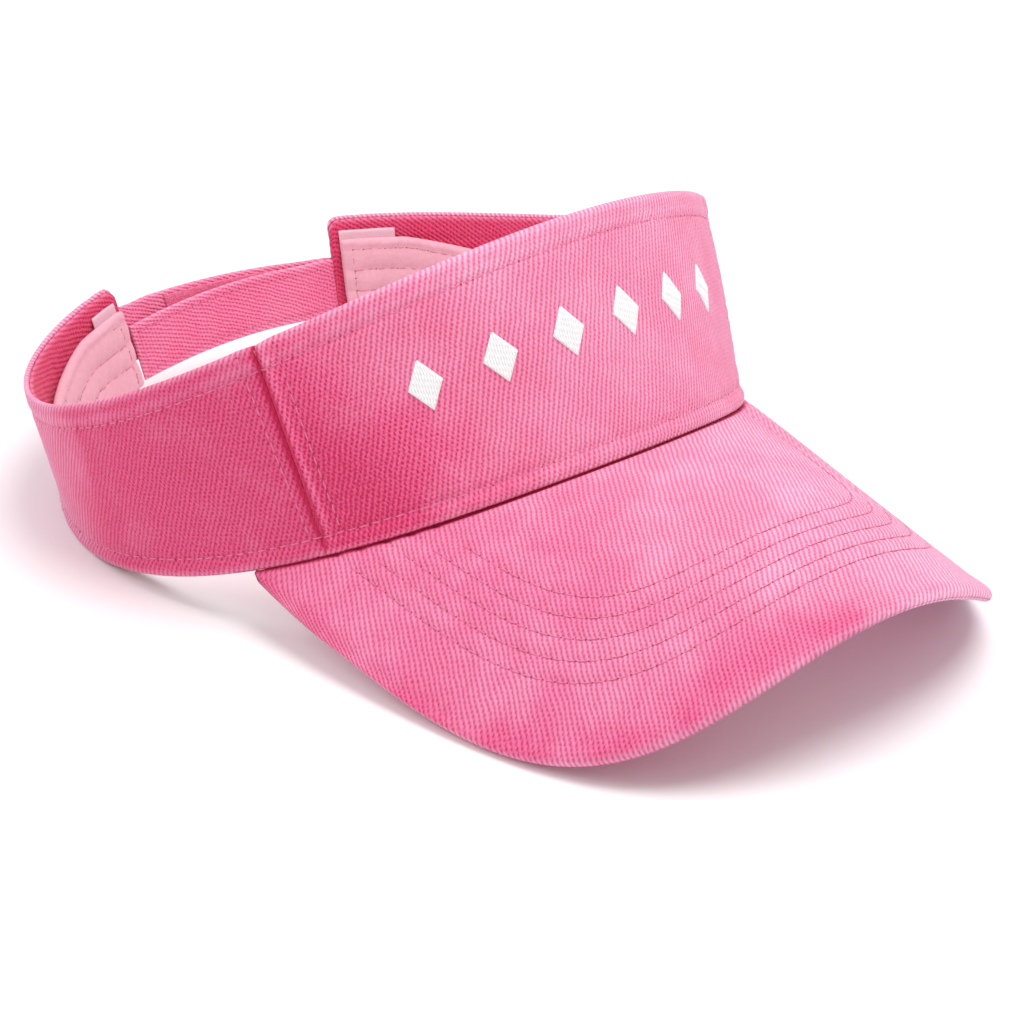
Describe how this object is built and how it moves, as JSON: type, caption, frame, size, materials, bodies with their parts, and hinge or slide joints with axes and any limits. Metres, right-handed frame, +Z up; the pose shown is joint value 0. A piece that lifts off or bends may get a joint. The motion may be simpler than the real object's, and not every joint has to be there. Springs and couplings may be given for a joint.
{
  "type": "sun visor",
  "caption": "Open-crown cotton sun visor: a deep curved headband, a long arched peak, an inner sweatband and two overlapping hook-and-loop straps at the back.",
  "frame": {"origin": "centre of the head opening, on the floor the visor stands on", "axes": "front faces -Y, +X is the wearer's left, +Z is up"},
  "size_m": [0.1968, 0.2687, 0.0974],
  "materials": {
    "twill": "washed pink cotton twill",
    "lining_twill": "pink cotton twill, inner face",
    "strap_twill": "doubled pink cotton twill",
    "sweatband_cotton": "pale pink plain-weave cotton",
    "pad": "soft white wadding",
    "stiffener": "white stiffened interlining",
    "board": "plain off-white sheet",
    "hook": "pink nylon hooks",
    "loop": "pink nylon loops",
    "label": "white woven tape",
    "thread": "pink polyester thread",
    "white_thread": "white satin-stitched thread"
  },
  "bodies": {
    "band": {"front_panel": "twill", "side_panel_left": "twill", "side_panel_right": "twill", "peak_top_cover": "twill", "peak_under_cover": "twill", "front_lining": "lining_twill", "side_lining_left": "lining_twill", "side_lining_right": "lining_twill", "peak_seam_tape": "lining_twill", "front_buckram": "stiffener", "side_interlining_left": "stiffener", "side_interlining_right": "stiffener", "sweatband": "sweatband_cotton", "sweatband_pad": "pad", "care_label": "label", "size_label": "label", "peak_board": "board", "inner_strap_tail": "strap_twill", "outer_strap_tail": "strap_twill", "front_embroidery": "white_thread", "peak_topstitching": "thread", "upper_hem_stitching": "thread", "lower_hem_stitching": "thread", "seam_stitching": "thread", "panel_end_stitching": "thread", "sweatband_stitching": "thread"},
    "outer_strap": {"outer_strap": "strap_twill", "hook_tape": "hook"},
    "inner_strap": {"inner_strap": "strap_twill", "loop_tape": "loop"}
  },
  "joints": [
    {"name": "outer_strap_peel", "type": "hinge", "parent": "band", "child": "outer_strap", "pos_m": [-0.034, 0.08512, 0.01707], "axis": [-0.086, 0.2924, 0.9524], "range_deg": [0, 100]},
    {"name": "inner_strap_swing", "type": "hinge", "parent": "band", "child": "inner_strap", "pos_m": [0.03354, 0.08356, 0.01197], "axis": [0.086, 0.2924, 0.9524], "range_deg": [0, 70]}
  ]
}
